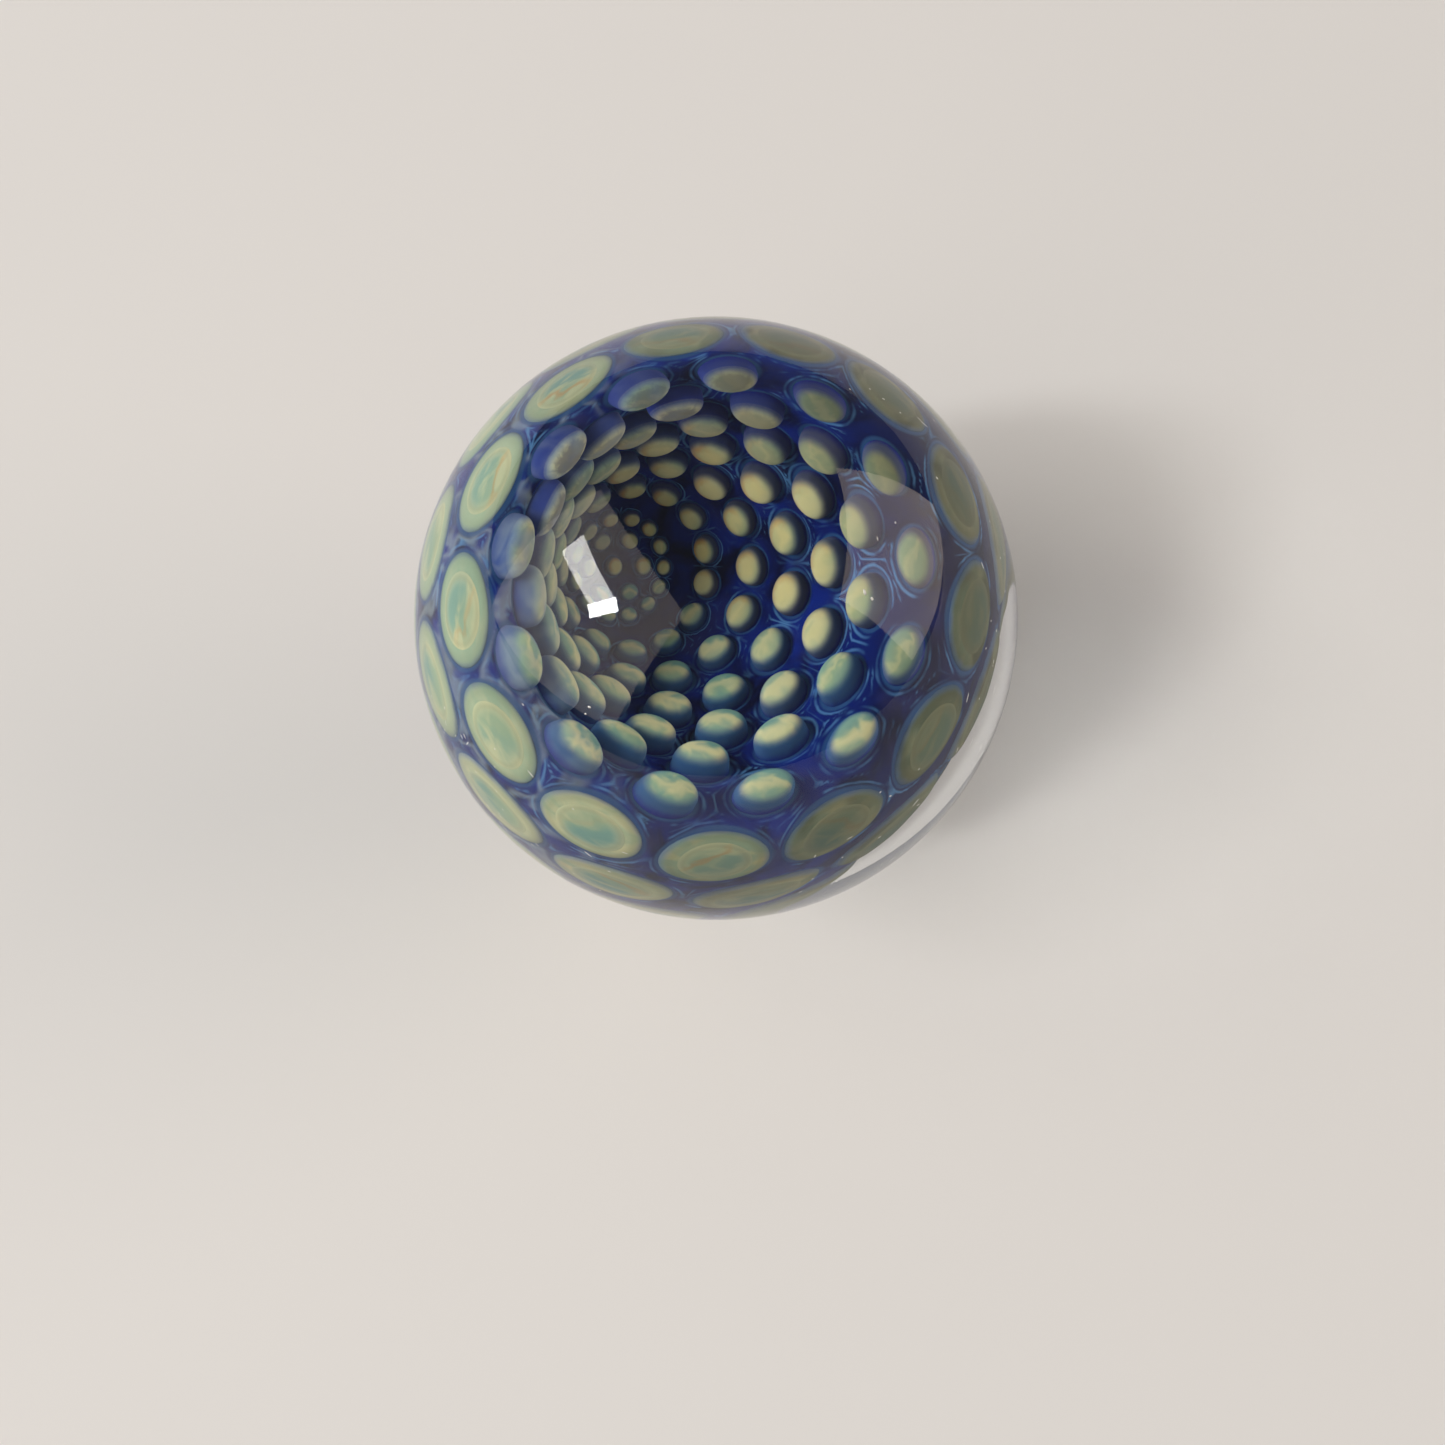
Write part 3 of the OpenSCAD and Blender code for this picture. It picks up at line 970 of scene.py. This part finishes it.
class MARBLE_OT_ball(bpy.types.Operator):
    """Models the clear ball: a cube rounded into an even ball, with faint waves left by the flame."""

    bl_idname = "marble.ball"
    bl_label = "Clear ball"

    def execute(self, context):
        waves = context.scene.marble_sizes.ball_waves * MM
        middle, radius = ball_place()
        deselect_all()
        bpy.ops.mesh.primitive_cube_add(size=2 * radius, location=middle)
        obj = bpy.context.object
        bpy.ops.object.transform_apply(location=True)
        bpy.ops.object.mode_set(mode="EDIT")
        bpy.ops.mesh.select_all(action="SELECT")
        bpy.ops.mesh.subdivide(number_cuts=10)
        bpy.ops.mesh.subdivide(number_cuts=10)
        bpy.ops.transform.tosphere(value=1, center_override=middle)
        bpy.ops.object.mode_set(mode="OBJECT")
        co = corners_of(obj.data) - np.array(middle)
        way = co / np.linalg.norm(co, axis=1)[:, None]
        ripple = np.sin(5.1 * way[:, 0] + 2 * np.sin(3.3 * way[:, 1]))
        ripple *= np.sin(4.3 * way[:, 2] + 1.7 * way[:, 0])
        depth = waves * (0.5 + 0.5 * ripple)
        place_corners(obj.data, np.array(middle) + way * (radius - depth)[:, None])
        bpy.ops.object.shade_smooth()
        finish_piece(obj, "clear_glass_ball", clear_glass(), "clear_glass", "clear_casing")
        # Lamps reach the opal dots straight through the clear glass.
        obj.visible_shadow = False
        return {"FINISHED"}


def fleck_material():
    """White lint on the ball's skin, and the white painted glints of its small pits."""
    r = Recipe("lint_and_pit_glints")
    tone = r.mix(r.noise(0.3, 2), (0.75, 0.74, 0.7), (0.95, 0.95, 0.95))
    r.set(Base_Color=tone, Roughness=0.3)
    return r.material


class MARBLE_OT_flecks(bpy.types.Operator):
    """Models the lint that clings to the ball, and painted glints for the small pits in its skin, as thin
    white slivers.
    """

    bl_idname = "marble.flecks"
    bl_label = "Lint and pits"

    def execute(self, context):
        middle, radius = ball_place()
        deselect_all()
        bpy.ops.mesh.primitive_ico_sphere_add(subdivisions=1, radius=1)
        sliver = bpy.context.object
        shape = corners_of(sliver.data)
        rng = random.Random(LINT_SEED)
        toward = view_frame(context.scene.marble_stage.camera_height)
        flecks = []
        for turn, lift, length, width in PITS:
            flecks.append((math.radians(turn), math.radians(lift), rng.uniform(0, math.pi), length, width))
        for first, last, count in LINT:
            for _ in range(count):
                turn = math.radians(rng.uniform(first, last))
                lift = math.radians(rng.gauss(20, 10))
                lie = turn + math.pi / 2 + rng.gauss(0, 0.6)
                length = 0.07 + 0.3 * rng.random() ** 3
                flecks.append((turn, abs(lift), lie, length, rng.uniform(0.03, 0.055)))
        placings = []
        for turn, lift, lie, length, width in flecks:
            level = math.cos(lift)
            flat = Vector((math.cos(turn) * level, math.sin(turn) * level, math.sin(lift)))
            out = (toward @ flat).normalized()
            side = toward @ Vector((math.cos(lie), math.sin(lie), 0))
            side = (side - side.dot(out) * out).normalized()
            directions = Matrix((side, out.cross(side), out)).transposed()
            size = np.array([length, width, FLECK_THICKNESS]) * MM
            seat = np.array(middle + out * (radius - FLECK_SINK * MM))
            places = seat + (shape * size) @ np.array(directions).T
            placings.append((places, (0, 0, 0), (0, 0, 0), 0.0))
        obj = joined_copies(sliver, placings, "lint")
        discard(sliver)
        finish_piece(obj, "lint_and_pit_glints", fleck_material(), None)
        return {"FINISHED"}


def view_frame(elevation):
    """Turns directions of the view (right, up, toward the eye) into those of the scene."""
    up = Vector((0, math.sin(elevation), math.cos(elevation)))
    eye = Vector((0, -math.cos(elevation), math.sin(elevation)))
    return Matrix((Vector((1, 0, 0)), up, eye)).transposed()


def add_panel(name, way, distance, width, height, turn, brightness, colour=(1, 1, 1)):
    """A soft rectangular lamp that faces the marble. Sizes are angles seen from the marble."""
    lamp = bpy.data.lights.new(name, "AREA")
    lamp.shape = "RECTANGLE"
    lamp.size = 2 * distance * math.tan(width / 2)
    lamp.size_y = 2 * distance * math.tan(height / 2)
    lamp.energy = brightness * math.pi * lamp.size * lamp.size_y
    lamp.color = colour
    obj = bpy.data.objects.new(name, lamp)
    bpy.context.scene.collection.objects.link(obj)
    way = Vector(way).normalized()
    obj.location = way * distance
    aim = (-way).to_track_quat("-Z", "Y") @ Quaternion((0, 0, 1), turn)
    obj.rotation_euler = aim.to_euler()
    # Light that reaches the dots straight isn't counted again by way of the glass.
    obj.visible_transmission = False
    return obj


class MARBLE_OT_stage(bpy.types.Operator):
    """Sets the pale floor, the soft lamps and the camera."""

    bl_idname = "marble.stage"
    bl_label = "Stage"

    def execute(self, context):
        stage = context.scene.marble_stage
        low, high = CAD_BOX
        centre = (low + high) / 2
        deselect_all()
        bpy.ops.mesh.primitive_circle_add(vertices=96, radius=1.5, fill_type="NGON", location=(0, 0, low.z))
        floor = bpy.context.object
        floor.name = "floor"
        floor.data.materials.append(floor_paint(tuple(stage.floor_colour)))
        world = bpy.data.worlds.new("studio")
        context.scene.world = world
        world.use_nodes = True
        background = world.node_tree.nodes["Background"]
        background.inputs["Color"].default_value = (0.93, 0.96, 1.0, 1.0)
        background.inputs["Strength"].default_value = stage.world_light
        bright = stage.window_light
        dim = stage.room_light
        add_panel("soft_window", (-0.74, -0.104, 0.664), 1.3, math.radians(28), math.radians(9.5),
                  math.radians(13), bright, (1, 0.99, 0.96))
        add_panel("window_pane", (-0.672, -0.309, 0.67), 1.2, math.radians(4.8), math.radians(12),
                  math.radians(-25), 3.2 * bright)
        # Two wide dim panels, whose images in the ball end in hard edges, as a room's would.
        add_panel("left_room", (-0.79, -0.258, 0.555), 1.6, math.radians(66), math.radians(60),
                  math.radians(13), dim, (1, 0.87, 0.78))
        add_panel("right_room", (0.919, 0.162, 0.358), 1.6, math.radians(50), math.radians(42),
                  math.radians(-6), 1.6 * dim, (1, 0.84, 0.7))
        elevation = stage.camera_height
        toward = Vector((0, -math.cos(elevation), math.sin(elevation)))
        camera = bpy.data.cameras.new("camera")
        camera.lens = CAMERA_LENS
        camera.sensor_width = SENSOR_WIDTH
        obj = bpy.data.objects.new("camera", camera)
        context.scene.collection.objects.link(obj)
        obj.location = centre + toward * stage.camera_distance
        aim = centre - Vector((0, math.sin(elevation), math.cos(elevation))) * AIM_BELOW
        aim += Vector((AIM_RIGHT, 0, 0))
        obj.rotation_euler = (aim - obj.location).to_track_quat("-Z", "Y").to_euler()
        context.scene.camera = obj
        context.scene.view_settings.view_transform = "Standard"
        return {"FINISHED"}


class MARBLE_PT_panel(bpy.types.Panel):
    """Lists the marble's sizes, colours and steps."""

    bl_idname = "MARBLE_PT_panel"
    bl_label = "Honeycomb marble"
    bl_space_type = "VIEW_3D"
    bl_region_type = "UI"
    bl_category = "Marble"

    def draw(self, context):
        for group in (context.scene.marble_sizes, context.scene.marble_colours, context.scene.marble_stage):
            box = self.layout.box()
            for name in group.__annotations__:
                box.prop(group, name)
        for operator in OPERATORS:
            self.layout.operator(operator.bl_idname)


GROUPS = {"marble_sizes": MarbleSizes, "marble_colours": MarbleColours, "marble_stage": MarbleStage}
OPERATORS = [
    MARBLE_OT_ground, MARBLE_OT_small_dots, MARBLE_OT_big_dots, MARBLE_OT_ball, MARBLE_OT_flecks,
    MARBLE_OT_stage,
]


def register():
    for name, group in GROUPS.items():
        bpy.utils.register_class(group)
        setattr(bpy.types.Scene, name, bpy.props.PointerProperty(type=group))
    for cls in OPERATORS + [MARBLE_PT_panel]:
        bpy.utils.register_class(cls)


def unregister():
    for cls in [MARBLE_PT_panel] + OPERATORS[::-1]:
        bpy.utils.unregister_class(cls)
    for name, group in GROUPS.items():
        delattr(bpy.types.Scene, name)
        bpy.utils.unregister_class(group)


def main():
    register()
    bpy.ops.marble.ground()
    bpy.ops.marble.small_dots()
    bpy.ops.marble.big_dots()
    bpy.ops.marble.ball()
    bpy.ops.marble.flecks()
    bpy.ops.marble.stage()


if __name__ == "__main__":
    main()
